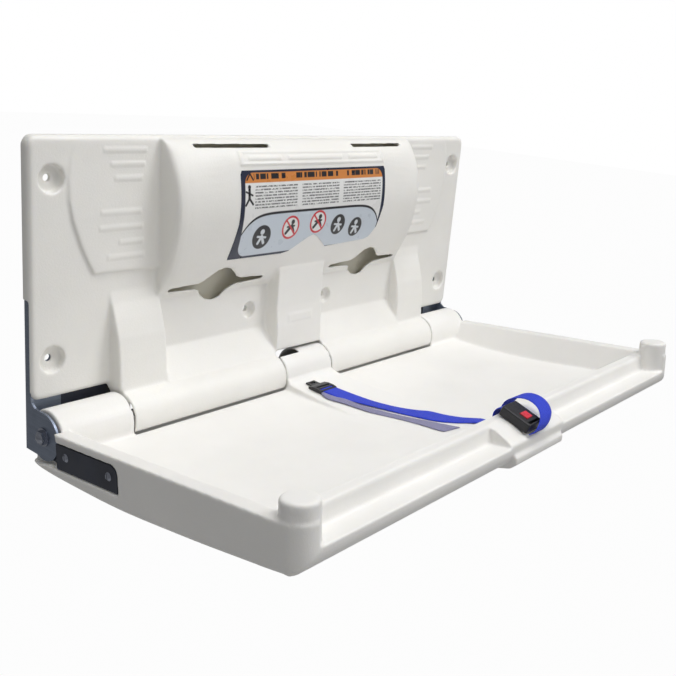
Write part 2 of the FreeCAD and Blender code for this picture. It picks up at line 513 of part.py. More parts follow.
def xs(r, y, hw):
    return Part.makeCylinder(r, 2 * hw, V(-hw, y, 0), V(1, 0, 0))


CYL_R, CYL_RI, RODP_R = 6.5, 5.3, 2.5
tube = cs(CYL_R, 12, 88).cut(cs(CYL_RI, 16, 89))
lug = xs(6.4, 0, 4.5).fuse(cs(4.6, 2, 14)).cut(xs(3.05, 0, 10))
put("damper_cylinder", along(tube.fuse(lug).removeSplitter()))
put("damper_gland", along(cs(CYL_RI, 80.0, 88.0).cut(cs(RODP_R + 0.05, 70, 90))))
ba = math.radians(PIN_A)
L0 = math.hypot(B_D - PIN_RHO * math.cos(ba), PIN_RHO * math.sin(ba) - B_H)
EYE_Y = L0
eye = xs(7.8, EYE_Y, 4.5).cut(xs(5.1, EYE_Y, 10))
rodp = cs(RODP_R, 34, EYE_Y - 6.6)
put("damper_rod", along(fuse([rodp, cs(5.0, 34, 42), cs(3.6, EYE_Y - 16, EYE_Y - 6.8), eye])))
chk = [(B_D - 5.6, B_H - 2.6), (B_D - 3.4, B_H - 5.6), (B_D + 2.8, B_H - 5.9), (326, -37.5), (326, -33.5), (299, -33.5), (B_D - 4.6, B_H + 4.6), (B_D - 6.2, B_H)]
bb = fuse([pr(chk, DX - 10.0, DX - 8.0), pr(chk, DX + 8.0, DX + 10.0), pr([(299, -33.5), (299, -35.5), (326, -35.5), (326, -33.5)], DX - 13.5, DX + 13.5)]).removeSplitter()
bb = bb.cut(cylb(DX - 20, DX + 20, B_D, B_H, 3.0)).cut(fuse([Part.makeCylinder(1.6, 20, V(DX + x, -312, -50), V(0, 0, 1)) for x in (-9, 9)]))
# the two screws sit between the cheeks
bb = bb.cut(fuse([Part.makeCylinder(3.3, 2.2, V(DX + x, -312, -37.7), V(0, 0, 1)) for x in (-9, 9)]))
put("damper_bed_bracket", bb)
put("damper_bracket_pin", fuse([cylb(DX - 12.6, DX + 11.8, B_D, B_H, 3.0), cylb(DX - 12.6, DX - 10.3, B_D, B_H, 4.8), cylb(DX + 10.3, DX + 11.0, B_D, B_H, 3.9)]))
put("damper_bracket_screws", *[Part.makeCylinder(1.5, 5.4, V(DX + x, -312, -35.5), V(0, 0, 1)).fuse(Part.makeCylinder(3.0, 1.7, V(DX + x, -312, -37.2), V(0, 0, 1))) for x in (-9, 9)])

# ------------------------------------------------------------------ service cover under the channel
cov = pr([(65.4, -58.4), (65.4, -60.3), (68, -61.0), (322, -61.0), (324.6, -60.3), (324.6, -58.4)], -54.6, 54.6)
ribs = [pr([(90 + 26 * k, -61.0), (93 + 26 * k, -61.9), (103 + 26 * k, -61.9), (106 + 26 * k, -61.0), (106 + 26 * k, -60.5), (90 + 26 * k, -60.5)], -40, 40) for k in range(8)]
cov = cov.fuse(fuse(ribs)).cut(fuse([Part.makeCylinder(1.6, 8, V(x, -d, -64), V(0, 0, 1)) for x in (-49, 49) for d in (68.2, 321.8)]))
put("damper_service_cover", cov)
put("service_cover_screws", *[Part.makeCylinder(1.4, 9.0, V(x, -d, -61.0), V(0, 0, 1)).fuse(Part.makeCone(1.7, 2.8, 1.3, V(x, -d, -62.3), V(0, 0, 1))) for x in (-49, 49) for d in (68.2, 321.8)])


# ------------------------------------------------------------------ strap, laid along the tray
def ribbon(pts, t, x0, x1):
    """band of thickness t standing on the (d,h) line pts"""
    n = []
    for k in range(len(pts)):
        a = pts[max(0, k - 1)]
        b = pts[min(len(pts) - 1, k + 1)]
        dx, dy = b[0] - a[0], b[1] - a[1]
        l = math.hypot(dx, dy)
        n.append((pts[k][0] - dy / l * t, pts[k][1] + dx / l * t))
    return pr(list(pts) + n[::-1], x0, x1)


LAY = [(90.8, -16.8), (100, -18.3), (130, -22.4), (160, -26.0), (186, -27.7), (230, -27.9), (270, -27.5), (300, -27.0)]
put("strap_tail_webbing", ribbon(LAY + [(309, -26.6)], WEB_T, -47, -18))
LOOP = [(318, -25.6), (334, -20.5), (350, -6.0), (362, 9.0), (371, 20.0), (382, 27.3), (396, 28.2), (410, 23.5), (422, 16.5), (429, 8.0), (430, 0.5), (427, -4.5), (422.8, -6.0)]
put("strap_long_webbing", ribbon(LAY + LOOP, WEB_T, -16, 14))
# tongue of the buckle with its adjuster bars, lying on the hump
tg = pr([(66, -13.2), (90.4, -17.2), (90.4, -12.8), (84, -10.4), (74, -9.0), (66, -9.6)], -41, -5)
tg = tg.cut(pr([(77, -7), (77, -20), (80.5, -20), (80.5, -7)], -37, -9)).cut(pr([(84.5, -7), (84.5, -20), (87.5, -20), (87.5, -7)], -37, -9))
# the blade that enters the housing
tg = tg.fuse(pr([(52.5, -10.4), (67, -12.9), (67, -10.2), (52.5, -8.2)], -32, -14)).cut(pr([(56, -5), (56, -15), (60.5, -15), (60.5, -5)], -28, -18)).removeSplitter()
put("buckle_tongue", tg)


def tiltb(q, d, h, ang):
    q = q.copy()
    q.rotate(V(0, 0, 0), V(1, 0, 0), ang)
    q.translate(F(d, h, BK_X))
    return q


# buckle: local y runs back toward the hinge, z up; lies on the centre pad
BK_X, BK_D, BK_H, BK_A = -14.0, 402.0, 4.0, 24.0
hb = Part.makeBox(34, 44, 13.0, V(-17, -21, 0))
hb = hb.makeFillet(3.0, [e for e in hb.Edges if abs(e.Vertexes[0].Point.z - e.Vertexes[1].Point.z) > 5])
hb = hb.makeFillet(2.2, [e for e in hb.Edges if e.CenterOfMass.z > 12.9])
hb = hb.cut(Part.makeBox(30, 30, 9.0, V(-15, -17, 2.0)).common(Part.makeBox(26, 26, 9.0, V(-13, -12, 2.0))))
hb = hb.cut(Part.makeBox(15, 12.5, 8.0, V(-7.5, -14.5 + 4.0, 9.0)))
hb = hb.cut(Part.makeBox(26, 4.0, 20.0, V(-13, -19.0, -2.0)))
hb = hb.cut(Part.makeBox(22, 12, 5.0, V(-11, 13, 4.0)))
put("buckle_housing", tiltb(hb, BK_D, BK_H, BK_A))
btn = Part.makeBox(14.2, 11.7, 4.3, V(-7.1, -10.1, 10.2))
btn = btn.makeFillet(1.2, [e for e in btn.Edges if e.CenterOfMass.z > 14.4]).fuse(Part.makeBox(17.0, 12.6, 1.4, V(-8.5, -10.55, 9.0))).removeSplitter()
P["buckle_housing"] = P["buckle_housing"].cut(place(tiltb(Part.makeBox(17.6, 13.2, 2.8, V(-8.8, -10.85, 8.0)), BK_D, BK_H, BK_A)))
put("buckle_release_button", tiltb(btn, BK_D, BK_H, BK_A))
# short anchor webbing and its plate on the front wall of the tray
put("strap_anchor_webbing", ribbon([(353.5, -16.6), (360, -11.0), (366.5, -3.0), (369.5, 5.0), (371.0, 11.0), (374.5, 15.6), (378.5, 17.2), (382.2, 18.4)], WEB_T, BK_X - 10.3, BK_X + 10.3))
screw_dir = V(0, 0.35, 0.94)
spots = [F(351.7, -18.3, BK_X + x) for x in (-16, 16)]
put("strap_anchor_plate", ribbon([(346.5, -21.3), (352.0, -19.2), (358.5, -14.4)], 1.0, BK_X - 20, BK_X + 20).cut(fuse([Part.makeCylinder(1.5, 12, q - screw_dir * 6, screw_dir) for q in spots])))
put("strap_anchor_screws", *[Part.makeCylinder(3.0, 1.4, q + screw_dir * 0.95, screw_dir).fuse(Part.makeCylinder(1.4, 6.6, q - screw_dir * 5.4, screw_dir)) for q in spots])
P["bed_shell"] = P["bed_shell"].cut(fuse([place(Part.makeCylinder(1.5, 8.0, q - screw_dir * 5.6, screw_dir)) for q in spots]))

for n, s in P.items():
    s.exportStep("parts/%s.step" % n)
print("nodes", len(P))
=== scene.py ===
import bpy, bmesh, math
import numpy as np
from mathutils import Vector, Matrix


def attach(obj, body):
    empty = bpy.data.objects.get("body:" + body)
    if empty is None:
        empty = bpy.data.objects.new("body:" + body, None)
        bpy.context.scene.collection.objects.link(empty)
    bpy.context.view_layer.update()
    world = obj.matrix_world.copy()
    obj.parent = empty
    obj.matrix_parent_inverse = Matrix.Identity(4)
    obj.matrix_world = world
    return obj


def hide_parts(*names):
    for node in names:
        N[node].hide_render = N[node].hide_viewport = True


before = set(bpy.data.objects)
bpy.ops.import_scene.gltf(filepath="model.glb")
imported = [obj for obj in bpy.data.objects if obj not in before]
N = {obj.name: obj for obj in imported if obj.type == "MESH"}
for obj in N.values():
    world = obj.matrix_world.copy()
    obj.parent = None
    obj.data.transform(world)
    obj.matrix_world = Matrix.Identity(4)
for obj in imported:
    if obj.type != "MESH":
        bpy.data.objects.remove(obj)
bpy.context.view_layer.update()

scene = bpy.context.scene
scene.view_settings.view_transform = "Standard"

# ------------------------------------------------------------------ camera, at the viewing angle worked out for the frame
YAW, PITCH, ROLL = math.radians(51.10), math.radians(16.45), math.radians(5.02)
fw = Vector((math.sin(YAW) * math.cos(PITCH), math.cos(YAW) * math.cos(PITCH), -math.sin(PITCH)))
rt = Vector((math.cos(YAW), -math.sin(YAW), 0.0))
up = rt.cross(fw)
r2 = rt * math.cos(ROLL) + up * math.sin(ROLL)
u2 = -rt * math.sin(ROLL) + up * math.cos(ROLL)
cam_d = bpy.data.cameras.new("camera")
cam_d.lens, cam_d.sensor_width = 47.59, 36.0
cam_d.clip_end = 60.0
cam = bpy.data.objects.new("camera", cam_d)
scene.collection.objects.link(cam)
m = Matrix.Identity(4)
for i in range(3):
    m[i][0], m[i][1], m[i][2] = r2[i], u2[i], -fw[i]
m.translation = Vector((-0.99433, -0.92185, 0.25137))
cam.matrix_world = m
scene.camera = cam


# ------------------------------------------------------------------ node helpers
class M:
    """a material and small helpers that build its node tree"""

    def __init__(self, name):
        self.mat = bpy.data.materials.new(name)
        self.mat.use_nodes = True
        self.t = self.mat.node_tree
        self.b = self.t.nodes["Principled BSDF"]
        self.co = self.t.nodes.new("ShaderNodeTexCoord").outputs["Object"]
        self.xyz = None

    def new(self, kind, **kw):
        n = self.t.nodes.new(kind)
        for k, v in kw.items():
            setattr(n, k, v)
        return n

    def put(self, sock, v):
        if isinstance(v, (int, float)):
            sock.default_value = v
        elif isinstance(v, (tuple, list)):
            sock.default_value = v
        else:
            self.t.links.new(v, sock)

    def math(self, op, a, b=0.0, c=0.0, clamp=False):
        n = self.new("ShaderNodeMath", operation=op)
        n.use_clamp = clamp
        self.put(n.inputs[0], a)
        self.put(n.inputs[1], b)
        self.put(n.inputs[2], c)
        return n.outputs[0]

    def noise(self, scale, detail=3.0, rough=0.5, vec=None):
        n = self.new("ShaderNodeTexNoise")
        self.t.links.new(vec or self.co, n.inputs["Vector"])
        n.inputs["Scale"].default_value = scale
        n.inputs["Detail"].default_value = detail
        n.inputs["Roughness"].default_value = rough
        return n.outputs["Fac"]

    def voro(self, scale, feature="F1", vec=None):
        n = self.new("ShaderNodeTexVoronoi", feature=feature)
        self.t.links.new(vec or self.co, n.inputs["Vector"])
        n.inputs["Scale"].default_value = scale
        return n.outputs["Distance"]

    def scaled(self, sx, sy, sz, src=None):
        n = self.new("ShaderNodeMapping")
        self.t.links.new(src or self.co, n.inputs["Vector"])
        n.inputs["Scale"].default_value = (sx, sy, sz)
        return n.outputs["Vector"]

    def ramp(self, fac, a, b, lo=0.35, hi=0.65):
        n = self.new("ShaderNodeValToRGB")
        self.t.links.new(fac, n.inputs[0])
        n.color_ramp.elements[0].position, n.color_ramp.elements[1].position = lo, hi
        n.color_ramp.elements[0].color = (*a, 1)
        n.color_ramp.elements[1].color = (*b, 1)
        return n.outputs[0]

    def rng(self, v, lo, hi, flo=0.0, fhi=1.0):
        n = self.new("ShaderNodeMapRange")
        self.t.links.new(v, n.inputs[0])
        for i, q in enumerate((flo, fhi, lo, hi)):
            n.inputs[1 + i].default_value = q
        return n.outputs[0]

    def mix(self, fac, a, b, blend="MIX"):
        n = self.new("ShaderNodeMix", data_type="RGBA", blend_type=blend)
        self.put(n.inputs[0], fac)
        for s, v in ((n.inputs[6], a), (n.inputs[7], b)):
            if isinstance(v, tuple):
                s.default_value = (*v, 1) if len(v) == 3 else v
            else:
                self.t.links.new(v, s)
        return n.outputs[2]

    def bump(self, height, dist, strength=1.0, normal=None):
        n = self.new("ShaderNodeBump")
        n.inputs["Strength"].default_value = strength
        n.inputs["Distance"].default_value = dist
        self.t.links.new(height, n.inputs["Height"])
        if normal is not None:
            self.t.links.new(normal, n.inputs["Normal"])
        return n.outputs[0]

    def base(self, sock):
        self.t.links.new(sock, self.b.inputs["Base Color"])

    def rough(self, sock):
        self.put(self.b.inputs["Roughness"], sock)

    def norm(self, sock):
        self.t.links.new(sock, self.b.inputs["Normal"])


# molded polyethylene: warm off-white, pebbled skin, faint clouding and handling marks
def shell_mat(name, peb=1.0, tint=(0.885, 0.872, 0.835)):
    k = M(name)
    lo = tuple(c * 0.955 for c in tint)
    cloud = k.ramp(k.noise(7.0, 4.0, 0.55), lo, tint, 0.3, 0.62)
    speck = k.rng(k.noise(190.0, 3.0, 0.6), 0.0, 0.10, 0.63, 0.78)
    cloud = k.mix(speck, cloud, (tint[0] * 0.8, tint[1] * 0.78, tint[2] * 0.74))
    k.base(cloud)
    k.rough(k.rng(k.noise(26.0, 3.0), 0.36, 0.52, 0.3, 0.7))
    fine = k.noise(900.0, 2.0, 0.6)
    peel = k.voro(420.0, "SMOOTH_F1")
    wave = k.noise(26.0, 2.0, 0.4)
    n1 = k.bump(wave, 0.0009, 0.22)
    n2 = k.bump(peel, 0.00035 * peb, 0.22, n1)
    n3 = k.bump(fine, 0.00022, 0.6, n2)
    k.norm(n3)
    k.b.inputs["Specular IOR Level"].default_value = 0.42
    k.b.inputs["Subsurface Weight"].default_value = 0.12
    k.b.inputs["Subsurface Radius"].default_value = (1.0, 0.85, 0.6)
    k.b.inputs["Subsurface Scale"].default_value = 0.003
    k.b.inputs["Coat Weight"].default_value = 0.06
    k.b.inputs["Coat Roughness"].default_value = 0.35
    return k.mat


MAT_WALL = shell_mat("wall_polyethylene", 1.15)
MAT_BED = shell_mat("bed_polyethylene", 0.9, (0.89, 0.878, 0.85))


def metal(name, col, rough, streak=(4, 4, 260), aniso=0.0, dark=0.82):
    k = M(name)
    s = k.noise(3.0, 4.0, 0.65, k.scaled(*streak))
    blot = k.noise(42.0, 4.0, 0.6)
    c = k.ramp(s, tuple(q * dark for q in col), col, 0.35, 0.65)
    c = k.mix(k.rng(blot, 0.0, 0.22, 0.55, 0.75), c, tuple(q * 0.55 for q in col))
    k.base(c)
    k.b.inputs["Metallic"].default_value = 1.0
    k.rough(k.rng(blot, rough, rough + 0.14, 0.35, 0.7))
    k.norm(k.bump(s, 0.00012, 0.5))
    return k.mat


MAT_STEEL = metal("plated_sheet_steel", (0.27, 0.31, 0.39), 0.36)
MAT_ROD = metal("ground_bar_steel", (0.62, 0.63, 0.66), 0.22, (260, 6, 6))
MAT_NUT = metal("plated_nut_steel", (0.34, 0.36, 0.42), 0.2, (40, 40, 40))
MAT_ZINC = metal("zinc_plated_screw", (0.66, 0.67, 0.69), 0.28, (90, 90, 90))


def arm_mat():
    k = M("arm_powder_coat")
    c = k.ramp(k.noise(30.0, 4.0), (0.014, 0.018, 0.032), (0.025, 0.031, 0.052), 0.35, 0.65)
    scr = k.rng(k.noise(5.0, 5.0, 0.7, k.scaled(6, 22, 260)), 0.0, 0.5, 0.66, 0.8)
    k.base(k.mix(scr, c, (0.10, 0.11, 0.14)))
    k.b.inputs["Metallic"].default_value = 0.1
    k.rough(k.rng(k.noise(60.0, 3.0), 0.3, 0.46, 0.35, 0.65))
    k.norm(k.bump(k.noise(1100.0, 2.0), 0.00015, 0.45))
    return k.mat


MAT_ARM = arm_mat()


def acetal(name, col, rough=0.34):
    k = M(name)
    c = k.ramp(k.noise(120.0, 4.0, 0.6), tuple(q * 0.8 for q in col), tuple(min(1.0, q * 1.15) for q in col), 0.35, 0.65)
    scuff = k.rng(k.noise(60.0, 5.0, 0.7, k.scaled(1, 3, 1)), 0.0, 0.18, 0.64, 0.8)
    k.base(k.mix(scuff, c, tuple(q + (0.5 - q) * 0.4 for q in col)))
    k.rough(k.rng(k.noise(300.0, 3.0), rough, rough + 0.16, 0.35, 0.65))
    k.norm(k.bump(k.noise(2200.0, 2.0), 0.00012, 0.6))
    return k.mat


MAT_BLACK = acetal("black_acetal", (0.018, 0.018, 0.022))
MAT_RED = acetal("red_acetal", (0.72, 0.035, 0.06), 0.3)
MAT_NYLON = acetal("natural_nylon", (0.76, 0.74, 0.67), 0.42)
MAT_PANEL = shell_mat("panel_polyethylene", 0.6, (0.82, 0.79, 0.67))
MAT_ENAMEL = acetal("black_enamel", (0.02, 0.02, 0.023), 0.22)


def webbing_mat(name, a, b):
    """ribbed weave in the ribbon's own coordinates: u metres along, v metres across"""
    k = M(name)
    uv = k.new("ShaderNodeUVMap", uv_map="weave").outputs[0]
    sep = k.new("ShaderNodeSeparateXYZ")
    k.t.links.new(uv, sep.inputs[0])
    u, v = sep.outputs[0], sep.outputs[1]
    w1 = k.math("SINE", k.math("MULTIPLY", u, 2 * math.pi / 0.0016))
    w2 = k.math("SINE", k.math("MULTIPLY", v, 2 * math.pi / 0.0022))
    h = k.math("ADD", k.math("MULTIPLY", k.math("MULTIPLY", w1, w2), 0.5), k.math("MULTIPLY", w2, 0.35))
    f = k.rng(h, 0.0, 1.0, -0.9, 0.9)
    c = k.mix(f, a, b)
    c = k.mix(k.rng(k.noise(90.0, 4.0, 0.6), 0.0, 0.3, 0.5, 0.8), c, tuple(q * 0.6 for q in a))
    k.base(c)
    k.b.inputs["Roughness"].default_value = 0.66
    k.b.inputs["Sheen Weight"].default_value = 0.08
    k.b.inputs["Sheen Roughness"].default_value = 0.4
    k.norm(k.bump(h, 0.0003, 0.8))
    return k.mat


MAT_BLUE = webbing_mat("blue_webbing", (0.008, 0.022, 0.40), (0.016, 0.06, 0.80))
# the tail ribbon is given a pale grey-lavender colour, greyer and lighter than the blue strap it lies beside
MAT_GREY = webbing_mat("webbing_reverse", (0.17, 0.165, 0.30), (0.33, 0.32, 0.48))


def label_mat():
    k = M("printed_label")
    sep = k.new("ShaderNodeSeparateXYZ")
    k.t.links.new(k.co, sep.inputs[0])
    X = k.math("MULTIPLY", sep.outputs[0], 1000.0)
    Z = k.math("MULTIPLY", sep.outputs[2], 1000.0)

    def step(v, w=0.5):
        return k.rng(v, 0.0, 1.0, -w, w)

    def rect(x0, x1, z0, z1, w=0.5):
        a = k.math("MINIMUM", k.math("SUBTRACT", X, x0), k.math("SUBTRACT", x1, X))
        b = k.math("MINIMUM", k.math("SUBTRACT", Z, z0), k.math("SUBTRACT", z1, Z))
        return step(k.math("MINIMUM", a, b), w)

    def dist(cx, cz):
        dx, dz = k.math("SUBTRACT", X, cx), k.math("SUBTRACT", Z, cz)
        return k.math("SQRT", k.math("ADD", k.math("MULTIPLY", dx, dx), k.math("MULTIPLY", dz, dz)))

    def disc(cx, cz, r):
        return step(k.math("SUBTRACT", r, dist(cx, cz)))

    def ring(cx, cz, r, t):
        return step(k.math("SUBTRACT", t / 2, k.math("ABSOLUTE", k.math("SUBTRACT", dist(cx, cz), r))))

    def seg(x0, z0, x1, z1, t):
        """thick straight stroke"""
        dx, dz = x1 - x0, z1 - z0
        L2 = dx * dx + dz * dz
        px, pz = k.math("SUBTRACT", X, x0), k.math("SUBTRACT", Z, z0)
        q = k.math("DIVIDE", k.math("ADD", k.math("MULTIPLY", px, dx), k.math("MULTIPLY", pz, dz)), L2, clamp=True)
        ex, ez = k.math("SUBTRACT", px, k.math("MULTIPLY", q, dx)), k.math("SUBTRACT", pz, k.math("MULTIPLY", q, dz))
        return step(k.math("SUBTRACT", t / 2, k.math("SQRT", k.math("ADD", k.math("MULTIPLY", ex, ex), k.math("MULTIPLY", ez, ez)))))

    navy, orange, white, grey, ink = (0.012, 0.018, 0.045), (0.66, 0.24, 0.055), (0.82, 0.82, 0.81), (0.60, 0.66, 0.73), (0.012, 0.012, 0.016)
    c = k.mix(0.0, grey, grey)
    # white field above the arched rule
    arch = k.math("ADD", 58.0, k.math("MULTIPLY", k.math("POWER", k.math("ABSOLUTE", k.math("DIVIDE", X, 152.0)), 9.0), -30.0))
    c = k.mix(step(k.math("SUBTRACT", Z, arch)), c, white)
    # columns of fine rules
    stripes = step(k.math("SINE", k.math("MULTIPLY", Z, 2 * math.pi / 4.1)), 0.55)
    words = k.rng(k.noise(1.0, 2.0, 0.7, k.scaled(330, 1, 244)), 0.0, 1.0, 0.40, 0.50)
    fine = k.math("MULTIPLY", stripes, words)
    for x0, x1 in ((-132, -48), (-38, 44), (54, 146)):
        c = k.mix(k.math("MULTIPLY", k.math("MULTIPLY", fine, rect(x0, x1, 64.5, 97.0)), 0.82), c, ink)
    # arched rule, heading band and border
    c = k.mix(step(k.math("SUBTRACT", 1.8, k.math("ABSOLUTE", k.math("SUBTRACT", Z, arch)))), c, ink)
    c = k.mix(rect(-200, 200, 100.5, 140), c, orange)
    for x0, x1 in ((-134, -72), (-52, 44), (62, 144)):
        dash = k.rng(k.noise(1.0, 1.0, 0.5, k.scaled(150, 1, 1)), 0.0, 1.0, 0.43, 0.47)
        c = k.mix(k.math("MULTIPLY", rect(x0, x1, 105.0, 112.5), dash), c, ink)
    c = k.mix(seg(-147, 104.6, -141, 112.8, 2.4), c, ink)
    c = k.mix(seg(-141, 112.8, -135.5, 104.6, 2.4), c, ink)
    # small generic figure at the left
    for s in (seg(-143, 92, -143, 80, 4.5), seg(-149, 89, -137, 84, 2.6), seg(-143, 80, -149, 71, 3.2), seg(-143, 80, -136, 72, 3.2), disc(-143, 95.2, 2.8)):
        c = k.mix(s, c, ink)
    # row of round pictograms: dark discs and struck-out rings
    red = (0.62, 0.035, 0.05)
    for cx, cz, r, kind in ((-110, 24, 17.5, 0), (-54, 34, 17.5, 1), (4, 38.5, 17.5, 1), (52, 31, 16.0, 0), (96, 24, 15.5, 0)):
        if kind:
            c = k.mix(disc(cx, cz, r), c, white)
            for s in (seg(cx - 8, cz - 8, cx + 2, cz + 3, 5), seg(cx + 2, cz + 3, cx + 8, cz - 7, 4), disc(cx + 3, cz + 8, 3.6), seg(cx - 7, cz + 1, cx + 7, cz + 2, 3)):
                c = k.mix(s, c, ink)
            c = k.mix(ring(cx, cz, r - 1.5, 3.2), c, red)
            c = k.mix(seg(cx - r * 0.66, cz + r * 0.66, cx + r * 0.66, cz - r * 0.66, 2.8), c, red)
        else:
            c = k.mix(disc(cx, cz, r), c, ink)
            for s in (seg(cx - 5, cz - 9, cx, cz + 1, 4.4), seg(cx, cz + 1, cx + 6, cz - 9, 4.4), disc(cx, cz + 7.5, 4.0), seg(cx - 8, cz + 1, cx + 8, cz - 1, 3)):
                c = k.mix(s, c, (0.66, 0.70, 0.74))
    # dark border round a field with rounded corners
    qx = k.math("SUBTRACT", k.math("ABSOLUTE", X), 150.5 - 15.0)
    qz = k.math("SUBTRACT", k.math("ABSOLUTE", k.math("SUBTRACT", Z, 56.0)), 58.0 - 15.0)
    ox, oz = k.math("MAXIMUM", qx, 0.0), k.math("MAXIMUM", qz, 0.0)
    out = k.math("SQRT", k.math("ADD", k.math("MULTIPLY", ox, ox), k.math("MULTIPLY", oz, oz)))
    edge = k.math("SUBTRACT", 15.0, k.math("ADD", out, k.math("MINIMUM", k.math("MAXIMUM", qx, qz), 0.0)))
    c = k.mix(step(k.math("MULTIPLY", edge, -1.0)), c, navy)
    grime = k.rng(k.noise(14.0, 4.0, 0.6), 0.0, 0.1, 0.5, 0.8)
    c = k.mix(grime, c, (0.42, 0.4, 0.36))
    k.base(c)
    k.rough(k.rng(k.noise(40.0, 3.0), 0.26, 0.42, 0.35, 0.65))
    k.norm(k.bump(k.noise(700.0, 2.0), 0.00012, 0.4))
    k.b.inputs["Coat Weight"].default_value = 0.25
    k.b.inputs["Coat Roughness"].default_value = 0.2
    return k.mat


MAT_LABEL = label_mat()


# ------------------------------------------------------------------ molded shells: the frame's own shape with soft molded edges
def link(ob):
    scene.collection.objects.link(ob)
    return ob


def molded(name, node, body, mat, voxel, iters, dents):
    me = N[node].data.copy()
    bm = bmesh.new()
    bm.from_mesh(me)
    bmesh.ops.remove_doubles(bm, verts=bm.verts, dist=1e-6)
    bm.to_mesh(me)
    bm.free()
    me.materials.clear()
    ob = link(bpy.data.objects.new(name, me))
    md = ob.modifiers.new("voxels", "REMESH")
    md.mode, md.voxel_size, md.adaptivity = "VOXEL", voxel, 0.0
    dg = bpy.context.evaluated_depsgraph_get()
    out = bpy.data.meshes.new_from_object(ob.evaluated_get(dg))
    ob.modifiers.clear()
    ob.data = out
    n = len(out.vertices)
    co = np.empty(n * 3)
    out.vertices.foreach_get("co", co)
    co = co.reshape(-1, 3)
    ed = np.empty(len(out.edges) * 2, dtype=np.int64)
    out.edges.foreach_get("vertices", ed)
    a, b = ed[0::2], ed[1::2]
    deg = np.maximum(np.bincount(a, minlength=n) + np.bincount(b, minlength=n), 1)

    def lap(c):
        r = np.empty_like(c)
        for i in range(3):
            r[:, i] = (np.bincount(a, weights=c[b, i], minlength=n) + np.bincount(b, weights=c[a, i], minlength=n)) / deg
        return r - c

    for _ in range(iters):
        co = co + 0.5 * lap(co)
        co = co - 0.30 * lap(co)
    co = dents(co)
    out.vertices.foreach_set("co", co.ravel())
    out.polygons.foreach_set("use_smooth", [True] * len(out.polygons))
    out.materials.append(mat)
    out.update()
    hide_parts(node)
    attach(ob, body)
    return ob


def soft(v, w):
    return np.clip(v / w + 0.5, 0.0, 1.0)


def bar(x, z, x0, x1, z0, z1, w=0.0016):
    return np.minimum(np.minimum(soft(x - x0, w), soft(x1 - x, w)), np.minimum(soft(z - z0, w), soft(z1 - z, w)))


def wall_relief(co):
    x, y, z = co[:, 0], co[:, 1], co[:, 2]
    out = np.zeros(len(co))
    # raised bar across the top of the dome
    front = y < -0.034
    out += 0.0014 * bar(x, z, -0.156, 0.156, 0.1235, 0.1425, 0.003) * front
    ins = bar(x, z, -0.150, 0.150, 0.1270, 0.1390, 0.002) * front
    out -= 0.0009 * ins
    # short generic raised bars in rows
    for x0, x1, zc in ((-0.140, -0.078, 0.133), (-0.064, 0.052, 0.133), (0.068, 0.140, 0.133)):
        out += 0.0009 * bar(x, z, x0, x1, zc - 0.0028, zc + 0.0028, 0.002) * front
    side = (y < -0.0145) & (y > -0.0215)
    rows = [(-0.345, -0.281, 0.141), (-0.335, -0.284, 0.124), (-0.329, -0.288, 0.107), (-0.350, -0.290, 0.066), (-0.352, -0.287, 0.047), (-0.323, -0.286, 0.028), (-0.340, -0.284, 0.010)]
    for x0, x1, zc in rows:
        for q0, q1 in ((x0, x1), (-x1, -x0)):
            out += 0.0008 * bar(x, z, q0, q1, zc - 0.003, zc + 0.003, 0.002) * side
    # raised plaque at the foot of the column
    foot = (y < -0.030) & (np.abs(x) < 0.047)
    out += 0.0011 * bar(x, z, -0.026, 0.026, -0.116, -0.104, 0.003) * foot
    co = co.copy()
    co[:, 1] -= out
    return co


VOX = 0.0017
wall = molded("wall_shell_molded", "wall_shell", "wall_unit", MAT_WALL, VOX, 5, wall_relief)
bed = molded("bed_shell_molded", "bed_shell", "bed", MAT_BED, VOX, 6, lambda c: c)

# ------------------------------------------------------------------ frame nodes that stay, with finished materials
KEEP = {
    "instruction_label": MAT_LABEL, "liner_back_panel": MAT_PANEL, "liner_panel_screws": MAT_ZINC,
    "left_hinge_bracket": MAT_STEEL, "right_hinge_bracket": MAT_STEEL, "chassis_plate": MAT_ARM,
    "hinge_rod": MAT_ROD, "hinge_cap_nuts": MAT_NUT, "hinge_outer_washers": MAT_NUT, "hinge_spacer_washers": MAT_NYLON,
    "hinge_bushings": MAT_NYLON, "left_bed_arm": MAT_ARM, "right_bed_arm": MAT_ARM, "bed_arm_screws": MAT_NUT,
    "damper_anchor_bracket": MAT_STEEL, "damper_anchor_pin": MAT_ROD, "damper_cylinder": MAT_ENAMEL, "damper_gland": MAT_NYLON,
    "damper_rod": MAT_ROD, "damper_bed_bracket": MAT_STEEL, "damper_bracket_pin": MAT_ROD, "damper_bracket_screws": MAT_ZINC,
    "damper_service_cover": MAT_PANEL, "service_cover_screws": MAT_ZINC, "strap_anchor_plate": MAT_BLACK,
    "strap_anchor_screws": MAT_ZINC, "buckle_tongue": MAT_BLACK, "buckle_housing": MAT_BLACK, "buckle_release_button": MAT_RED,
}
for name, mat in KEEP.items():
    ob = N[name]
    if not ob.data.materials:
        ob.data.materials.append(mat)
    for s in ob.material_slots:
        s.material = mat

# ------------------------------------------------------------------ strap webbing: flat ribbons in the bed's own coordinates
AX = Vector((0.0, -0.038, -0.195))
TILT = math.radians(5.5)


def B(x, d, h):
    """bed point: x across, d out from the hinge, h above it, millimetres"""
    return Vector((x / 1000, AX.y + (-d * math.cos(TILT) + h * math.sin(TILT)) / 1000, AX.z + (d * math.sin(TILT) + h * math.cos(TILT)) / 1000))


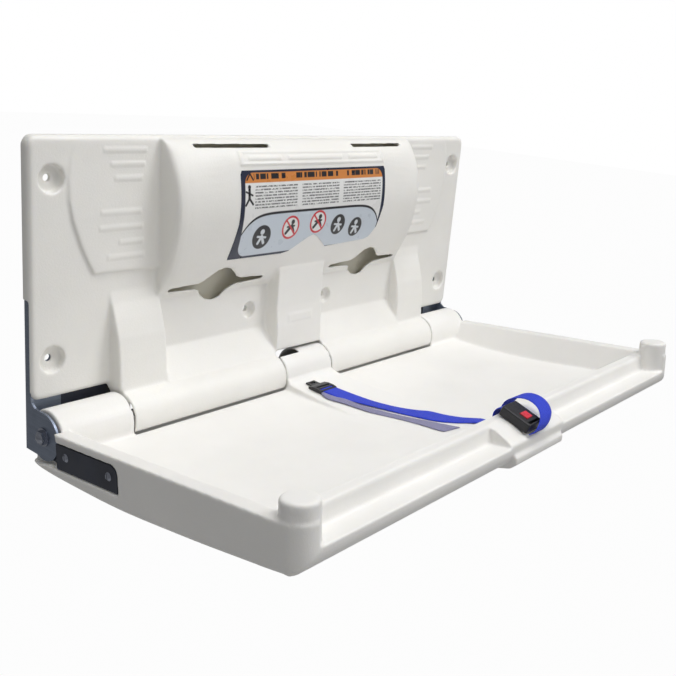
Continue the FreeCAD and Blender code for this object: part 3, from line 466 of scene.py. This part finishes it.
def catmull(pts, steps):
    P = [pts[0]] + list(pts) + [pts[-1]]
    out = []
    for i in range(1, len(P) - 2):
        for j in range(steps):
            t = j / steps
            p0, p1, p2, p3 = P[i - 1], P[i], P[i + 1], P[i + 2]
            out.append(tuple(0.5 * (2 * p1[k] + (p2[k] - p0[k]) * t + (2 * p0[k] - 5 * p1[k] + 4 * p2[k] - p3[k]) * t * t + (3 * p1[k] - p0[k] - 3 * p2[k] + p3[k]) * t ** 3) for k in range(len(p1))))
    out.append(tuple(P[-2]))
    return out


def webbing(name, rows, node, mat, thick=0.0013, steps=7, across=10):
    """rows: (xa, da, ha, xb, db, hb) the two edges of the ribbon"""
    R = catmull(rows, steps)
    E = [(B(*r[:3]), B(*r[3:])) for r in R]
    bm = bmesh.new()
    uvl = bm.loops.layers.uv.new("weave")
    n = len(E)
    nor = []
    for i in range(n):
        a0, b0 = E[max(0, i - 1)]
        a1, b1 = E[min(n - 1, i + 1)]
        t = ((a1 + b1) - (a0 + b0)).normalized()
        w = (E[i][1] - E[i][0]).normalized()
        nor.append(w.cross(t).normalized())
    run = [0.0]
    for i in range(1, n):
        run.append(run[-1] + ((E[i][0] + E[i][1]) / 2 - (E[i - 1][0] + E[i - 1][1]) / 2).length)
    prof = []
    for j in range(across + 1):
        v = j / across
        rim = min(v, 1 - v) * across
        prof.append((v, 0.5 * (0.45 if rim < 0.5 else 1.0)))
    ring = [(v, q) for v, q in prof] + [(v, -q) for v, q in reversed(prof)]
    grid = []
    for i in range(n):
        a, b = E[i]
        grid.append([bm.verts.new(a.lerp(b, v) + nor[i] * (q * thick)) for v, q in ring])
    width = (E[0][1] - E[0][0]).length
    for i in range(n - 1):
        for j in range(len(ring)):
            k2 = (j + 1) % len(ring)
            f = bm.faces.new((grid[i][j], grid[i + 1][j], grid[i + 1][k2], grid[i][k2]))
            f.smooth = True
            for lp, (ii, jj) in zip(f.loops, ((i, j), (i + 1, j), (i + 1, k2), (i, k2))):
                lp[uvl].uv = (run[ii], ring[jj][0] * width)
    for i in (0, n - 1):
        f = bm.faces.new(grid[i] if i else grid[i][::-1])
    bmesh.ops.recalc_face_normals(bm, faces=bm.faces)
    me = bpy.data.meshes.new(name)
    bm.to_mesh(me)
    bm.free()
    me.materials.append(mat)
    ob = link(bpy.data.objects.new(name, me))
    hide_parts(node)
    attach(ob, "bed")
    return ob


# edges: outer (left) then inner (right)
LONG = [
    (-36, 84.5, -12.0, -6, 84.0, -12.0),
    (-35, 92.0, -14.6, -5.5, 90.0, -14.0),
    (-29, 122.0, -20.4, -1, 128.0, -20.2),
    (-21, 148.0, -23.2, 2.5, 160.0, -24.0),
    (-14, 178.0, -25.8, 8.5, 194.0, -26.2),
    (-11, 210.0, -27.0, 15.0, 222.0, -26.2),
    (-9, 240.0, -27.3, 24.0, 240.0, -26.4),
    (-6.5, 270.0, -26.9, 26.0, 264.0, -26.8),
    (2, 292.0, -26.6, 31.5, 290.0, -26.6),
    (15, 312.0, -25.4, 40.0, 312.0, -25.2),
    (19, 328.0, -23.0, 36.0, 331.0, -21.6),
    (15, 345.0, -15.0, 32.0, 352.0, -8.0),
    (10, 358.0, 0.5, 31.0, 368.0, 12.0),
    (6, 369.0, 18.5, 33.0, 379.0, 24.5),
    (5, 384.0, 26.5, 34.0, 391.0, 28.4),
    (6, 400.0, 27.8, 35.0, 404.0, 26.8),
    (5, 414.0, 22.8, 34.0, 416.0, 20.6),
    (-2, 424.5, 14.5, 27.0, 425.5, 12.0),
    (-14, 429.5, 5.0, 14.0, 430.0, 3.5),
    (-24, 428.5, -3.0, 3.5, 428.5, -3.8),
    (-27.5, 423.5, -6.2, 0.0, 423.5, -6.4),
]
webbing("strap_long", LONG, "strap_long_webbing", MAT_BLUE)
# tail ribbon beside the blue strap, coloured grey-lavender rather than the strap's blue
TAIL = [
    (-39, 88.0, -14.6, -14, 88.0, -14.4),
    (-47.5, 108.0, -18.4, -22, 104.0, -17.8),
    (-41, 136.0, -22.0, -24.5, 150.0, -23.6),
    (-36, 180.0, -26.9, -18.5, 190.0, -27.2),
    (-32, 226.0, -27.6, -15.5, 232.0, -27.6),
    (-33, 262.0, -27.1, -11.5, 274.0, -26.9),
    (-37, 292.0, -26.5, -9.8, 300.0, -26.2),
    (-37.5, 305.0, -26.2, -9.0, 312.0, -25.8),
]
webbing("strap_tail", TAIL, "strap_tail_webbing", MAT_GREY, 0.0011)
ANCH = [
    (-24, 353.5, -15.6, -4, 353.5, -15.6),
    (-24, 360.0, -10.4, -4, 360.0, -10.4),
    (-24, 366.0, -2.4, -4, 366.0, -2.4),
    (-24, 368.8, 5.4, -4, 368.8, 5.4),
    (-24, 370.4, 11.4, -4, 370.4, 11.4),
    (-24, 374.0, 16.2, -4, 374.0, 16.2),
    (-24, 378.2, 18.0, -4, 378.2, 18.0),
    (-24, 382.0, 19.2, -4, 382.0, 19.2),
]
webbing("strap_anchor_web", ANCH, "strap_anchor_webbing", MAT_BLUE)

# ------------------------------------------------------------------ floor, world, lights
fm = M("floor_paint")
fm.base(fm.ramp(fm.noise(1.3, 3.0), (0.64, 0.64, 0.64), (0.68, 0.68, 0.68), 0.3, 0.7))
fm.b.inputs["Roughness"].default_value = 0.85
flp = fm.new("ShaderNodeLightPath")
fem = fm.new("ShaderNodeEmission")
fem.inputs[0].default_value = (1.0, 1.0, 1.0, 1)
fem.inputs[1].default_value = 0.98
fmx = fm.new("ShaderNodeMixShader")
fm.t.links.new(flp.outputs["Is Camera Ray"], fmx.inputs[0])
fm.t.links.new(fm.b.outputs[0], fmx.inputs[1])
fm.t.links.new(fem.outputs[0], fmx.inputs[2])
fm.t.links.new(fmx.outputs[0], fm.t.nodes["Material Output"].inputs[0])
fme = bpy.data.meshes.new("floor")
S = 20.0
FZ = -1.35
fme.from_pydata([(-S, -S, FZ), (S, -S, FZ), (S, S, FZ), (-S, S, FZ)], [], [(0, 1, 2, 3)])
fme.materials.append(fm.mat)
floor = link(bpy.data.objects.new("floor", fme))

w = bpy.data.worlds.new("studio")
scene.world = w
w.use_nodes = True
nt = w.node_tree
bg = nt.nodes["Background"]
bg.inputs[0].default_value = (1.0, 1.0, 1.0, 1)
bg.inputs[1].default_value = 0.26
bg2 = nt.nodes.new("ShaderNodeBackground")
bg2.inputs[0].default_value = (1, 1, 1, 1)
bg2.inputs[1].default_value = 1.0
lp = nt.nodes.new("ShaderNodeLightPath")
mx = nt.nodes.new("ShaderNodeMixShader")
nt.links.new(lp.outputs["Is Camera Ray"], mx.inputs[0])
nt.links.new(bg.outputs[0], mx.inputs[1])
nt.links.new(bg2.outputs[0], mx.inputs[2])
nt.links.new(mx.outputs[0], nt.nodes["World Output"].inputs[0])


def area(name, loc, aim, size, power, col=(1, 1, 1)):
    d = bpy.data.lights.new(name, "AREA")
    d.shape, d.size, d.energy, d.color = "DISK", size, power, col
    o = link(bpy.data.objects.new(name, d))
    o.location = loc
    o.rotation_euler = (Vector(aim) - Vector(loc)).to_track_quat("-Z", "Y").to_euler()
    return o


area("key", (1.5, -1.9, 2.2), (0, -0.2, -0.1), 1.6, 42.0)
area("top", (-0.25, -0.75, 2.6), (0, -0.3, -0.15), 2.0, 41.0)
area("fill", (-1.2, -2.8, 0.7), (0, -0.2, -0.1), 1.6, 4.0)
